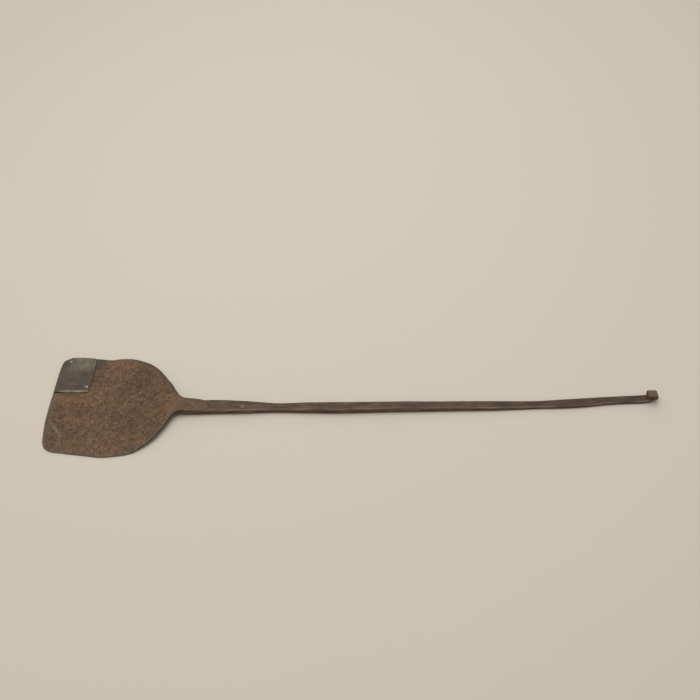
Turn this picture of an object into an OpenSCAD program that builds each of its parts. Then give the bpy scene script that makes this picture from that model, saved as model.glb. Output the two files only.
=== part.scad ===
// Hand-forged iron spatula, lying flat on its blade.
// +X runs along the handle from the blade to the rolled eye, +Y to the side
// that carries the repair patch, +Z up. The origin is the middle of the
// underside of the whole object, on the surface that it lies on.

/* [Overall] */
// Length from the front edge of the blade to the end of the rolled eye
overall_l = 616; // [590:1:680]
// How far the handle's axis lies from the middle of the overall width
axis_offset = 5; // [3:0.5:7]

/* [Blade] */
// Length of the blade from its front edge to its shoulders
blade_l = 130; // [120:1:140]
// Width of the blade at its widest
blade_w = 121; // [112:1:130]
// Thickness of the blade where it lies flat
plate_t = 1.6; // [1.2:0.1:2.2]
// Height of the heel's underside above the surface, where it meets the handle
heel_rise = 6.2; // [5.6:0.1:7]
// Thickness of the heel and of the root of the tang
heel_t = 3.1; // [2.6:0.1:3.6]

/* [Handle] */
// Height of the bar's underside above the surface, below the neck
neck_lift = 0.8; // [0.4:0.1:2]
// Factor on the width of the bar
bar_width = 1; // [0.85:0.01:1.15]
// Factor on the thickness of the bar past the lap
bar_thickness = 1; // [0.85:0.01:1.15]
// How far the end of the bar bends to the side
end_bend = 8.7; // [4:0.1:12]

/* [Rolled eye] */
// Radius of the eye that a nail goes through
eye_r = 2.4; // [2:0.1:2.6]
// Width of the rolled strip
strip_w = 7.4; // [6.4:0.1:8.2]

/* [Repair patch] */
// Length of the patch along the handle's direction
patch_l = 36; // [32:1:40]
// Width of the patch from the blade's edge inwards
patch_w = 45.5; // [42:0.5:48]
// Thickness of the patch
patch_t = 1.2; // [0.8:0.1:1.6]
// How far the patch's inner edge stands off the blade
patch_lift = 0.8; // [0:0.1:1.2]
// Radius of a rivet's shank
rivet_r = 1.5; // [1.2:0.1:1.8]
// Radius of a rivet's peened head
rivet_head_r = 2.6; // [2.2:0.1:3]

/* [Hidden] */
$fn = 96;

// the roll in side view: a wide sweep, a tight turn, then the tip
bar_end_t = 3.6;                // thickness of the bar where the roll starts
sweep_r = 22;
sweep_a = 38;                   // slope at which the sweep tightens
turn_r = 3.85;
turn_c = [(sweep_r - turn_r) * sin(sweep_a), sweep_r - (sweep_r - turn_r) * cos(sweep_a)];
tip_r = 3.6;
tip_c = turn_c + [-2.6, turn_r - tip_r];
tip_z = 5.4;                    // height of the tip's end, just off the bar
eye_c = [9, 7];                 // middle of the eye from the roll's start
roll_l = turn_c[0] + turn_r;    // length of the roll along the handle

kb = blade_l / 130;             // blade length against its drawn size
kw = blade_w / 121;             // blade width against its drawn size
front = -overall_l / 2;         // x of the blade's front edge
tang_end = front + 163 * kb;    // x of the rounded end of the tang
curl_x = overall_l / 2 - roll_l; // x where the bar starts to roll up
run = curl_x - tang_end;        // length of the bar between the two

// ---- smooth curves through hand-placed points -------------------------------

function spline(a, b, c, d, t) =
    0.5 * (2 * b + (c - a) * t + (2 * a - 5 * b + 4 * c - d) * t * t
           + (3 * b - a - 3 * c + d) * t * t * t);

// a closed curve, n steps between neighbouring points
function ring(p, n) = [
    for (i = [0 : len(p) - 1], j = [0 : n - 1])
        spline(p[(i + len(p) - 1) % len(p)], p[i], p[(i + 1) % len(p)],
               p[(i + 2) % len(p)], j / n)
];

// an open curve, n steps between neighbouring points, ending on the last point
function path(p, n) = concat([
    for (i = [0 : len(p) - 2], j = [0 : n - 1])
        spline(p[max(i - 1, 0)], p[i], p[i + 1], p[min(i + 2, len(p) - 1)], j / n)
], [p[len(p) - 1]]);

function back(p) = [for (i = [len(p) - 1 : -1 : 0]) p[i]];

// points on a circle about c from angle a to angle b
function arc(c, r, a, b, n) = [for (i = [0 : n])
    c + r * [cos(a + (b - a) * i / n), sin(a + (b - a) * i / n)]];

// ---- rolled eye -------------------------------------------------------------

// The roll in side view, from the point where the bar leaves the surface. The
// underside sweeps up on a wide arc, turns over on a tight one and comes down
// again as a tip that nearly meets the bar.

roll = concat(
    arc([0, sweep_r], sweep_r, -90, sweep_a - 90, 8),
    arc(turn_c, turn_r, sweep_a - 78, 90, 12),
    arc(tip_c, tip_r, 90, 180, 9),
    [[tip_c[0] - tip_r + 0.2, tip_z], [eye_c[0] - 1.6, tip_z],
     [eye_c[0] - 0.4, eye_c[1]], [eye_c[0] - 0.8, 5], [5.6, 4.35], [3, 3.85]]);

// ---- blade ------------------------------------------------------------------

// Outline of the blade seen from above: distance from the front edge, then
// distance from the handle's axis. It starts on the front edge near the patch
// and runs round by the near side, the tang and the far side.
outline = [
    [3.6, 54], [2.4, 42], [1.4, 30], [1, 18], [0.7, 8], [0.4, -4], [0.8, -18],
    [2.0, -31], [3, -38], [5.3, -44], [9.5, -48], [16, -50.4], [24, -51.4],
    [32, -52.4], [40, -53.5], [48, -54.6], [56, -55.6], [64, -56.4],
    [71, -56], [78, -55.2], [86, -54], [94, -51.4], [101, -47.2],
    [108, -41.8], [115, -34.4], [121.5, -24.6], [127, -14.4], [131, -9],
    [136, -7.1], [142, -6.9], [150, -6.8], [157, -6.3], [161.5, -4], [163, 0.3],
    [161.5, 4.6], [157, 7], [150, 7.8], [142, 8.7], [137, 9.6], [133, 12.6],
    [129, 18.2], [124.5, 25.6], [118, 34], [110, 44.6], [103, 51.8], [95, 57.6],
    [87, 61.4], [79, 64], [70, 65], [62, 64.6], [55, 63.3], [48, 63.9],
    [39, 65], [24, 65.2], [12, 64.6], [7, 61.8], [4.8, 58.8]
];

function plan_x(s) = front + s * kb;
function plan_pt(q) = [plan_x(q[0]), q[0] < 134 ? q[1] * kw : q[1]];

// Underside of the heel and of the tang: distance from the front edge, height.
// Past the heel the tang lies on the bar, and both follow this same line.
heel_under = [
    [78, 0], [88, 0.4], [96, 1.2], [104, 2.3], [112, 3.7], [119, 5],
    [126, 5.9], [133, 6.2], [142, 6], [151, 6.3], [158, 6.6], [163, 6.8]
];
function under_pt(q) = [plan_x(q[0]), q[1] * heel_rise / 6.2];
lap = [for (q = path(heel_under, 2)) under_pt(q)];

// Thickness of the heel and of the tang at the same places, down to the tang's
// thin end: share of the blade's thickness, share of the heel's
heel_thick = [
    [1, 0], [0.95, 0.05], [0.8, 0.2], [0.65, 0.35], [0.5, 0.5], [0.3, 0.7],
    [0.15, 0.85], [0, 1], [0, 0.9], [0, 0.75], [0, 0.5], [0, 0.25]
];
crown = path([for (i = [0 : len(heel_under) - 1])
    under_pt(heel_under[i]) + [0, heel_thick[i] * [plate_t, heel_t]]], 2);

module blade_sides() {
    translate([0, 0, -1])
        linear_extrude(height = 20)
            polygon(ring([for (q = outline) plan_pt(q)], 2));
}

module blade_profile() {
    rotate([90, 0, 0])
        linear_extrude(height = 200, center = true)
            polygon(concat(
                [[front - 5, 0]], lap,
                [[tang_end + 0.5, lap[len(lap) - 1][1]]],
                [[tang_end + 0.5, crown[len(crown) - 1][1]]],
                back(crown), [[front + 5, plate_t], [front - 5, plate_t - 1]]));
}

module blade_plate() {
    color([0.37, 0.27, 0.21])
        translate([0, -axis_offset, 0])
            difference() {
                intersection() {
                    blade_sides();
                    blade_profile();
                }
                for (p = rivets) translate([p[0], p[1], 0]) rivet_hole();
            }
}

// ---- handle -----------------------------------------------------------------

// The bar seen from above: fraction of the run from the tang's end to the roll,
// sideways place of its middle, width. The far bend is scaled by end_bend.
plan = [
    [0, 0.4, 13.4], [0.03, 0.5, 12.9], [0.075, 0, 11.6], [0.125, -0.2, 9.5],
    [0.165, -0.5, 8.5], [0.215, -0.8, 8.9], [0.30, -1.2, 9.5], [0.40, -0.7, 8.8],
    [0.48, -0.2, 8.7], [0.57, 0.4, 8.6], [0.66, 0.9, 8.8], [0.71, 1.5, 8.3],
    [0.75, 1.9, 7.7], [0.79, 2.5, 8.2], [0.83, 3.4, 9], [0.87, 4.6, 8.9],
    [0.91, 6.2, 8.1], [0.95, 7.4, 7.7], [1, 8.3, 8.1]
];
function bend(y) = y <= 1 ? y : 1 + (y - 1) * (end_bend - 1) / 7.7;
function plan_mid(i) = [tang_end + plan[i][0] * run, bend(plan[i][1])];
function plan_edge(side) = concat(
    [[plan_x(119), side * 5 + 0.6], [plan_x(126), side * 6.4 + 0.7],
     [plan_x(134), side * 7.2 + 0.9], [plan_x(142), side * 7.4 + 0.8],
     [plan_x(152), side * 7 + 0.4]],
    [for (i = [0 : len(plan) - 1])
        plan_mid(i) + [0, side * plan[i][2] * bar_width / 2]],
    [[curl_x + 6, end_bend + side * strip_w / 2],
     [curl_x + 12, end_bend + side * strip_w / 2],
     [curl_x + 20, end_bend + side * strip_w / 2]]);

// Height of the bar's straight underside, which falls from the neck to the roll
function lift(x) = neck_lift * max(0, (curl_x - x) / (curl_x - plan_x(138)));

// Thickness of the bar past the lap: fraction of the run, thickness
bar_thick = [
    [0.02, 6.3], [0.07, 6.4], [0.1, 6.1], [0.125, 5.5], [0.145, 5],
    [0.168, 4.7], [0.19, 5.1], [0.215, 5.9], [0.24, 6.4], [0.31, 6.6],
    [0.4, 6.8], [0.45, 6.8], [0.48, 6.4], [0.525, 5.8], [0.57, 5.5],
    [0.62, 5.1], [0.665, 4.4], [0.69, 4], [0.72, 3.7], [0.86, 3.6]
];
bar_over = concat(
    [lap[len(lap) - 1]],
    [for (q = bar_thick) let (x = tang_end + q[0] * run)
        [x, lift(x) + q[1] * bar_thickness]],
    [[curl_x, bar_end_t]]);

module bar_profile() {
    rotate([90, 0, 0])
        linear_extrude(height = 60, center = true)
            polygon(concat(
                [[plan_x(129), heel_rise * 0.45], [plan_x(138), neck_lift], [curl_x - 1, 0]],
                [for (q = roll) q + [curl_x, 0]],
                back(path(bar_over, 2)),
                back([for (q = lap) if (q[0] > plan_x(120) - 0.1 && q[0] < tang_end - 0.5) q]),
                [[plan_x(119.5), heel_rise * 0.7]]));
}

module bar_sides() {
    translate([0, 0, -1])
        linear_extrude(height = 20)
            polygon(concat(path(plan_edge(-1), 2), back(path(plan_edge(1), 2))));
}

module handle_bar() {
    color([0.33, 0.25, 0.21])
        translate([0, -axis_offset, 0])
            difference() {
                intersection() {
                    bar_sides();
                    bar_profile();
                }
                translate([curl_x + eye_c[0], end_bend, eye_c[1]])
                    rotate([90, 0, 0])
                        cylinder(r = eye_r, h = 30, center = true);
            }
}

// ---- repair patch -----------------------------------------------------------

patch_front = front + 3;
patch_far = 66 * kw;
patch_near = patch_far - patch_w;

// Outline of the patch: its front edge follows the blade's, and its far front
// corner is cut off like the blade's own corner.
patch_plan = [
    [patch_front - 1, patch_near], [patch_front + patch_l - 2, patch_near],
    [patch_front + patch_l - 1.3, patch_near + 8],
    [patch_front + patch_l - 0.3, patch_near + 18],
    [patch_front + patch_l, patch_near + 28],
    [patch_front + patch_l - 0.4, patch_near + 38],
    [patch_front + patch_l - 1.2, patch_far - 1.2],
    [patch_front + 20, patch_far], [patch_front + 9, patch_far - 0.2],
    [patch_front + 2.2, patch_far - 4.2], [patch_front + 0.2, patch_far - 9],
    [patch_front - 0.8, patch_near + 22], [patch_front - 1.2, patch_near + 10]
];

module patch_profile() {
    rotate([90, 0, 90])
        linear_extrude(height = 120, center = true)
            polygon([
                [patch_far + 2, plate_t], [patch_near + 7, plate_t],
                [patch_near + 3, plate_t + patch_lift * 0.35],
                [patch_near - 2, plate_t + patch_lift],
                [patch_near - 2, plate_t + patch_lift + patch_t],
                [patch_near + 3, plate_t + patch_lift * 0.35 + patch_t],
                [patch_near + 7, plate_t + patch_t], [patch_far + 2, plate_t + patch_t]
            ]);
}

module corner_patch() {
    color([0.36, 0.34, 0.29])
        translate([0, -axis_offset, 0])
            difference() {
                intersection() {
                    linear_extrude(height = 20) polygon(patch_plan);
                    translate([patch_front, 0, 0]) patch_profile();
                }
                for (p = rivets) translate([p[0], p[1], 0]) rivet_hole();
            }
}

// ---- rivets -----------------------------------------------------------------

// Two rivets in opposite corners of the patch and one on its inner side
rivets = [
    [patch_front + 9, patch_far - 6],
    [patch_front + patch_l - 5.5, patch_near + 7],
    [patch_front + patch_l - 6.2, patch_near + 24]
];
sink = 0.7;                            // depth of the countersink underneath

module rivet_hole() {
    translate([0, 0, -1]) cylinder(r = rivet_r, h = 20);
    rotate_extrude() polygon([
        [0, -0.5], [rivet_r + 0.9 + 0.5 * 0.9 / sink, -0.5], [rivet_r + 0.9, 0],
        [rivet_r, sink], [0, sink]
    ]);
}

// A rivet: countersunk tail flush with the underside, shank, domed head
module rivet() {
    top = plate_t + patch_t;
    h = 0.9;
    big = (rivet_head_r * rivet_head_r + h * h) / (2 * h);
    a = asin(rivet_head_r / big);
    rotate_extrude() polygon(concat(
        [[0, 0], [rivet_r + 0.9, 0], [rivet_r, sink], [rivet_r, top]],
        [for (i = [0 : 7]) [0, top + h - big] + big * [sin(a * (7 - i) / 7), cos(a * (7 - i) / 7)]]
    ));
}

module patch_rivets() {
    color([0.47, 0.42, 0.35])
        translate([0, -axis_offset, 0])
            for (p = rivets) translate([p[0], p[1], 0]) rivet();
}

blade_plate();
handle_bar();
corner_patch();
patch_rivets();
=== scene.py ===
import math

import bpy
import numpy as np
from mathutils import Matrix, Vector
from mathutils.geometry import delaunay_2d_cdt


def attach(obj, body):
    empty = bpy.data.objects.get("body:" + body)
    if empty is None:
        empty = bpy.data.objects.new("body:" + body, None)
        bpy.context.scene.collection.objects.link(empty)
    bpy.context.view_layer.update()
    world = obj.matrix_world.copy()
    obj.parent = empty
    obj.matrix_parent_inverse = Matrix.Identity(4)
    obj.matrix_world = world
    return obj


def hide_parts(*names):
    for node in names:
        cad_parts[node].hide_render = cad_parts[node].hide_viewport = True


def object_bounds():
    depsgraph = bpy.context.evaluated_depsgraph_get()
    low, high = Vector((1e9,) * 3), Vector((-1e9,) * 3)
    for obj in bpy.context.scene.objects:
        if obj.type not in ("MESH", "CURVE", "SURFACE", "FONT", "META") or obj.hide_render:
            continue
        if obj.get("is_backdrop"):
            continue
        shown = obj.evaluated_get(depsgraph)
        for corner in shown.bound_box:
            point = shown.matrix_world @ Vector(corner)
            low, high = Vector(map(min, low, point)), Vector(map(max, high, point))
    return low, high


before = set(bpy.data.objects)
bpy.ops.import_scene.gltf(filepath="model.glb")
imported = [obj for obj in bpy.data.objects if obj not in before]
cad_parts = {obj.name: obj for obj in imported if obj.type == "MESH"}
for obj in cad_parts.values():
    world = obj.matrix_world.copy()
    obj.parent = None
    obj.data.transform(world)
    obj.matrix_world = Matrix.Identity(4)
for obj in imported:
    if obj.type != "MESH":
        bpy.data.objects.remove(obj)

CAD_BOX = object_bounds()

# A hand-forged iron spatula. All shapes below are worked out in millimetres in
# the frame's own axes and turned into metres when a mesh is made.

# ---------------------------------------------------------------------------
# dimensions, as in the construction
# ---------------------------------------------------------------------------
OVERALL, AXIS = 616.0, 5.0
FRONT = -OVERALL / 2
PLATE_T, HEEL_T = 1.6, 3.1
NECK_LIFT = 0.8
END_BEND, STRIP_W, EYE_R = 8.9, 7.8, 2.4
SWEEP_R, SWEEP_A, TURN_R, TIP_R, TIP_Z = 22.0, math.radians(38), 3.85, 3.6, 5.4
TURN_C = np.array(
    [(SWEEP_R - TURN_R) * math.sin(SWEEP_A), SWEEP_R - (SWEEP_R - TURN_R) * math.cos(SWEEP_A)]
)
TIP_C = TURN_C + [-2.6, TURN_R - TIP_R]
EYE_C = np.array([9.0, 7.0])
CURL_X = OVERALL / 2 - TURN_C[0] - TURN_R
TANG_END = FRONT + 163
RUN = CURL_X - TANG_END
PATCH_L, PATCH_W, PATCH_T, PATCH_LIFT = 36.0, 45.5, 1.2, 0.8
PATCH_FRONT, PATCH_FAR = FRONT + 3, 66.0 - AXIS
PATCH_NEAR = PATCH_FAR - PATCH_W
RIVET_R, HEAD_R, SINK = 1.5, 2.6, 0.7
RIVETS = [
    (PATCH_FRONT + 9, PATCH_FAR - 6),
    (PATCH_FRONT + PATCH_L - 5.5, PATCH_NEAR + 7),
    (PATCH_FRONT + PATCH_L - 6.2, PATCH_NEAR + 24),
]

# distance from the front edge, distance from the handle's axis
OUTLINE = [
    (3.6, 54), (2.4, 42), (1.4, 30), (1, 18), (0.7, 8), (0.4, -4), (0.8, -18),
    (2.0, -31), (3, -38), (5.3, -44), (9.5, -48), (16, -50.4), (24, -51.4),
    (32, -52.4), (40, -53.5), (48, -54.6), (56, -55.6), (64, -56.4),
    (71, -56), (78, -55.2), (86, -54), (94, -51.4), (101, -47.2),
    (108, -41.8), (115, -34.4), (121.5, -24.6), (127, -14.4), (131, -9),
    (136, -7.1), (142, -6.9), (150, -6.8), (157, -6.3), (161.5, -4), (163, 0.3),
    (161.5, 4.6), (157, 7), (150, 7.8), (142, 8.7), (137, 9.6), (133, 12.6),
    (129, 18.2), (124.5, 25.6), (118, 34), (110, 44.6), (103, 51.8), (95, 57.6),
    (87, 61.4), (79, 64), (70, 65), (62, 64.6), (55, 63.3), (48, 63.9),
    (39, 65), (24, 65.2), (12, 64.6), (7, 61.8), (4.8, 58.8),
]  # fmt: skip
HEEL_UNDER = [
    (78, 0), (88, 0.4), (96, 1.2), (104, 2.3), (112, 3.7), (119, 5),
    (126, 5.9), (133, 6.2), (142, 6), (151, 6.3), (158, 6.6), (163, 6.8),
]  # fmt: skip
HEEL_THICK = [
    (1, 0), (0.95, 0.05), (0.8, 0.2), (0.65, 0.35), (0.5, 0.5), (0.3, 0.7),
    (0.15, 0.85), (0, 1), (0, 0.9), (0, 0.75), (0, 0.5), (0, 0.25),
]  # fmt: skip
PLAN = [
    (0, 0.4, 13.4), (0.03, 0.5, 12.9), (0.075, 0, 11.6), (0.125, -0.2, 9.5),
    (0.165, -0.5, 8.5), (0.215, -0.8, 8.9), (0.30, -1.2, 9.5), (0.40, -0.7, 8.8),
    (0.48, -0.2, 8.7), (0.57, 0.4, 8.6), (0.66, 0.9, 8.8), (0.71, 1.5, 8.3),
    (0.75, 1.9, 7.7), (0.79, 2.5, 8.2), (0.83, 3.4, 9), (0.87, 4.6, 8.9),
    (0.91, 6.2, 8.1), (0.95, 7.4, 7.7), (1, 8.3, 8.1),
]  # fmt: skip
BAR_THICK = [
    (0.02, 6.3), (0.07, 6.4), (0.1, 6.1), (0.125, 5.5), (0.145, 5),
    (0.168, 4.7), (0.19, 5.1), (0.215, 5.9), (0.24, 6.4), (0.31, 6.6),
    (0.4, 6.8), (0.45, 6.8), (0.48, 6.4), (0.525, 5.8), (0.57, 5.5),
    (0.62, 5.1), (0.665, 4.4), (0.69, 4), (0.72, 3.7), (0.86, 3.6),
]  # fmt: skip


# ---------------------------------------------------------------------------
# curves
# ---------------------------------------------------------------------------
def spline(a, b, c, d, t):
    return 0.5 * (
        2 * b
        + (c - a) * t
        + (2 * a - 5 * b + 4 * c - d) * t * t
        + (3 * b - a - 3 * c + d) * t**3
    )


def ring(p, n):
    p = np.asarray(p, float)
    t = (np.arange(n) / n)[:, None]
    k = len(p)
    return np.vstack(
        [spline(p[i - 1], p[i], p[(i + 1) % k], p[(i + 2) % k], t) for i in range(k)]
    )


def path(p, n):
    p = np.asarray(p, float)
    t = (np.arange(n) / n)[:, None]
    k = len(p)
    rows = [
        spline(p[max(i - 1, 0)], p[i], p[i + 1], p[min(i + 2, k - 1)], t)
        for i in range(k - 1)
    ]
    return np.vstack(rows + [p[-1:]])


def even(points, step, closed=True):
    """The same line with points an even step apart."""
    p = np.vstack([points, points[:1]]) if closed else np.asarray(points)
    length = np.r_[0, np.cumsum(np.hypot(*np.diff(p, axis=0).T))]
    n = max(8, int(round(length[-1] / step)))
    at = np.linspace(0, length[-1], n + 1)
    out = np.column_stack([np.interp(at, length, p[:, k]) for k in range(p.shape[1])])
    return out[:-1] if closed else out


def smooth(lo, hi, x):
    t = np.clip((x - lo) / (hi - lo), 0, 1)
    return t * t * (3 - 2 * t)


def bump(x, middle, half):
    """1 at the middle, 0 at half a width away."""
    return 1 - smooth(0, half, np.abs(x - middle))


# ---------------------------------------------------------------------------
# noise: fixed seeds, so each run gives the same surface
# ---------------------------------------------------------------------------
def lattice(ix, iy, seed):
    h = (ix.astype(np.int64) * 374761393 + iy.astype(np.int64) * 668265263 + seed * 974634777) & 0xFFFFFFFF
    h = ((h ^ (h >> 13)) * 1274126177) & 0xFFFFFFFF
    h = ((h ^ (h >> 15)) * 2246822519) & 0xFFFFFFFF
    return ((h ^ (h >> 16)) & 0xFFFFFF) / float(0x1000000)


def wave(x, y, seed):
    """Smooth gradient noise, about -1 to 1."""
    x, y = np.broadcast_arrays(np.asarray(x, float), np.asarray(y, float))
    x0, y0 = np.floor(x), np.floor(y)
    fx, fy = x - x0, y - y0
    u = fx**3 * (fx * (fx * 6 - 15) + 10)
    v = fy**3 * (fy * (fy * 6 - 15) + 10)

    def corner(dx, dy):
        a = lattice(x0 + dx, y0 + dy, seed) * 2 * math.pi
        return np.cos(a) * (fx - dx) + np.sin(a) * (fy - dy)

    low = corner(0, 0) * (1 - u) + corner(1, 0) * u
    high = corner(0, 1) * (1 - u) + corner(1, 1) * u
    return (low * (1 - v) + high * v) * 1.5


def rough(x, y, seed, octaves=3, gain=0.5):
    total, size, scale = 0, 1.0, 1.0
    for k in range(octaves):
        total = total + size * wave(x * scale + 17.3 * k, y * scale - 9.1 * k, seed + k)
        size, scale = size * gain, scale * 2.03
    return total


def cells(x, y, seed, spread=0.9):
    """Distance to the nearest scattered point, and a number for that point."""
    x, y = np.broadcast_arrays(np.asarray(x, float), np.asarray(y, float))
    x0, y0 = np.floor(x), np.floor(y)
    best, name = np.full(x.shape, 9.0), np.zeros(x.shape)
    for i in (-1, 0, 1):
        for j in (-1, 0, 1):
            cx, cy = x0 + i, y0 + j
            px = cx + 0.5 + spread * (lattice(cx, cy, seed) - 0.5)
            py = cy + 0.5 + spread * (lattice(cx, cy, seed + 1) - 0.5)
            d = np.hypot(x - px, y - py)
            nearer = d < best
            best = np.where(nearer, d, best)
            name = np.where(nearer, lattice(cx, cy, seed + 2), name)
    return best, name


# ---------------------------------------------------------------------------
# mesh helpers
# ---------------------------------------------------------------------------
def inside(points, polygon):
    """Which points lie inside a closed polygon."""
    x, y = points[:, 0], points[:, 1]
    out = np.zeros(len(points), bool)
    x1, y1 = polygon[:, 0], polygon[:, 1]
    x2, y2 = np.roll(x1, -1), np.roll(y1, -1)
    for a, b, c, d in zip(x1, y1, x2, y2):
        if b == d:
            continue
        cross = (y >= min(b, d)) & (y < max(b, d))
        out ^= cross & (x < a + (y - b) * (c - a) / (d - b))
    return out


def away(points, line, reach):
    """Distance from each point to the nearest point of a dense line, up to reach."""
    out = np.full(len(points), float(reach))
    for start in range(0, len(points), 4000):
        p = points[start : start + 4000]
        d = np.hypot(p[:, None, 0] - line[None, :, 0], p[:, None, 1] - line[None, :, 1])
        out[start : start + 4000] = np.minimum(d.min(1), reach)
    return out


def triangulate(loops, grid):
    """Triangles over the area inside loops[0] and outside the others, through the grid's points.
    Returns (points, triangles); the loops' points come first, in their order."""
    points = np.vstack(loops + [grid])
    edges, start = [], 0
    for loop in loops:
        n = len(loop)
        edges += [(start + i, start + (i + 1) % n) for i in range(n)]
        start += n
    got = delaunay_2d_cdt([Vector(p) for p in points], edges, [], 0, 1e-7)
    co = np.array([tuple(v) for v in got[0]])
    tri = np.array([tuple(f) for f in got[2] if len(f) == 3], np.int64)
    first = np.array([o[0] for o in got[3]])
    if len(co) != len(points):
        raise RuntimeError("the triangulation added or lost a point")
    tri = first[tri]
    middle = points[tri].mean(1)
    keep = inside(middle, loops[0])
    for loop in loops[1:]:
        keep &= ~inside(middle, loop)
    tri = tri[keep]
    a, b, c = (points[tri[:, k]] for k in range(3))
    area = (b[:, 0] - a[:, 0]) * (c[:, 1] - a[:, 1]) - (b[:, 1] - a[:, 1]) * (c[:, 0] - a[:, 0])
    tri[area < 0] = tri[area < 0][:, ::-1]
    return points, tri[np.abs(area) > 1e-9]


def hexgrid(low, high, step):
    """Points of a triangular grid, each moved a little so that no rows show."""
    rows = np.arange(low[1], high[1], step * math.sqrt(3) / 2)
    out = []
    for k, y in enumerate(rows):
        x = np.arange(low[0] + (k % 2) * step / 2, high[0], step)
        out.append(np.column_stack([x, np.full(len(x), y)]))
    p = np.vstack(out)
    i, j = np.round(p[:, 0] * 64), np.round(p[:, 1] * 64)
    return p + step * 0.22 * np.column_stack(
        [lattice(i, j, 901) - 0.5, lattice(i, j, 902) - 0.5]
    )


def normals_of(loop):
    """Outward normals of a closed anticlockwise line."""
    t = np.roll(loop, -1, 0) - np.roll(loop, 1, 0)
    t /= np.maximum(np.hypot(*t.T), 1e-9)[:, None]
    return np.column_stack([t[:, 1], -t[:, 0]])


def strip(a, b, n, closed=True):
    """Quads between two rows of n points that start at a and b."""
    i = np.arange(n if closed else n - 1)
    j = (i + 1) % n
    return np.column_stack([a + i, a + j, b + j, b + i])


def make(name, points, faces, node, attributes=None):
    """A smooth mesh piece in metres that stands for a node."""
    mesh = bpy.data.meshes.new(name)
    mesh.from_pydata((np.asarray(points) * 0.001).tolist(), [], faces)
    mesh.validate()
    mesh.polygons.foreach_set("use_smooth", [True] * len(mesh.polygons))
    for key, value in (attributes or {}).items():
        value = np.asarray(value, np.float32)
        if value.ndim == 1:
            layer = mesh.attributes.new(key, "FLOAT", "POINT")
            layer.data.foreach_set("value", value)
        else:
            layer = mesh.attributes.new(key, "FLOAT_VECTOR", "POINT")
            layer.data.foreach_set("vector", value.ravel())
    mesh.update()
    piece = bpy.data.objects.new(name, mesh)
    bpy.context.scene.collection.objects.link(piece)
    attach(piece, "root")
    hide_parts(node)
    return piece


# ---------------------------------------------------------------------------
# blade
# ---------------------------------------------------------------------------
LAP = path([(FRONT + s, z) for s, z in HEEL_UNDER], 12)
CROWN = path(
    [(FRONT + q[0], q[1] + k[0] * PLATE_T + k[1] * HEEL_T) for q, k in zip(HEEL_UNDER, HEEL_THICK)],
    12,
)


def under(x):
    return np.interp(x, LAP[:, 0], LAP[:, 1])


def over(x):
    return np.interp(x, CROWN[:, 0], CROWN[:, 1])


# the worn seam on the tongue where the two irons were welded; the pale line painted along it is a painted highlight on
# the seam's step
SEAM = path(
    [(-176, 2.6), (-170, 0.6), (-166, -0.9), (-161.5, -2.7), (-158, -4.9), (-156.4, -7.6),
     (-157.4, -10.4), (-160, -12.6)],
    12,
)  # fmt: skip


def dents(x, y, size, depth, seed):
    """Shallow round hammer marks that overlap."""
    d, name = cells(x / size, y / size, seed)
    return -depth * (0.4 + 0.6 * name) * (1 - smooth(0, 0.75, d))


def pits(x, y, size, depth, share, seed):
    d, name = cells(x / size, y / size, seed)
    return -depth * (name < share) * (1 - smooth(0.05, 0.42, d)) * (0.5 + 1.4 * name)


def blade_relief(x, y):
    s = x - FRONT
    h = 0.20 * rough(x / 40, y / 40, 11, 2)
    h += dents(x, y, 9.0, 0.09, 21) + dents(x + 3.3, y - 5.1, 5.2, 0.045, 25)
    h += 0.035 * rough(x / 3.4, y / 3.4, 31, 3)
    h += pits(x, y, 3.1, 0.10, 0.35, 41) + pits(x, y, 1.9, 0.06, 0.3, 45)
    # scale that has flaked off in places
    h += 0.05 * smooth(-0.12, 0.1, rough(x / 9, y / 9, 51, 4, 0.6))
    # short slanting strokes of the hammer's edge on the near side of the heel
    u, v = 0.9 * x - 0.44 * y, 0.44 * x + 0.9 * y
    zone = np.exp(-(((s - 98) / 20) ** 2) - (((y + 28) / 20) ** 2))
    h += 0.07 * zone * wave(u / 1.9, v / 9.0, 61)
    return h


def blade_top(x, y):
    """Height of the blade's upper face without its edge."""
    z = over(x)
    s = x - FRONT
    relief = blade_relief(x, y)
    # the tongue is smoother, with the seam across it
    tongue = smooth(126, 138, s)
    relief = relief * (1 - 0.72 * tongue) + tongue * (
        0.05 * rough(x / 12, y / 2.2, 71, 2) + 0.02 * wave(x / 2.0, y / 1.2, 75)
    )
    d = seam_side(x, y)
    relief = relief + tongue * (0.28 * smooth(-0.5, 0.5, -d) * smooth(150, 140, s) - 0.16 * np.exp(-((d / 0.6) ** 2)))
    # the heel is thickest along the handle's line and thins towards its rim
    relief = relief + 0.25 * smooth(96, 122, s) * (1 - smooth(137, 146, s)) * np.exp(-(((y + AXIS - 0.8) / 9) ** 2))
    # nothing stands up where the patch lies on the blade
    px = smooth(PATCH_L + 2.5, PATCH_L - 0.5, x - PATCH_FRONT) * smooth(PATCH_NEAR - 1, PATCH_NEAR + 3, y)
    relief = relief * (1 - px) + np.minimum(relief, 0) * px - 0.03 * px
    return z + relief - 0.5 * smooth(149, 162.5, s)


def seam_side(x, y):
    """Signed distance to the seam, negative on the blade's side."""
    p = np.column_stack([np.ravel(x), np.ravel(y)])
    d = np.full(len(p), 5.0)
    near = (p[:, 0] > -185) & (p[:, 0] < -140)
    if near.any():
        q = p[near]
        gap = np.hypot(q[:, None, 0] - SEAM[None, :, 0], q[:, None, 1] - SEAM[None, :, 1])
        k = np.clip(gap.argmin(1), 1, len(SEAM) - 2)
        t = SEAM[k + 1] - SEAM[k - 1]
        off = q - SEAM[k]
        side = np.sign(t[:, 0] * off[:, 1] - t[:, 1] * off[:, 0])
        d[near] = side * gap.min(1)
    d[p[:, 0] <= -185] = -5.0
    return d.reshape(np.shape(x))


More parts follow.
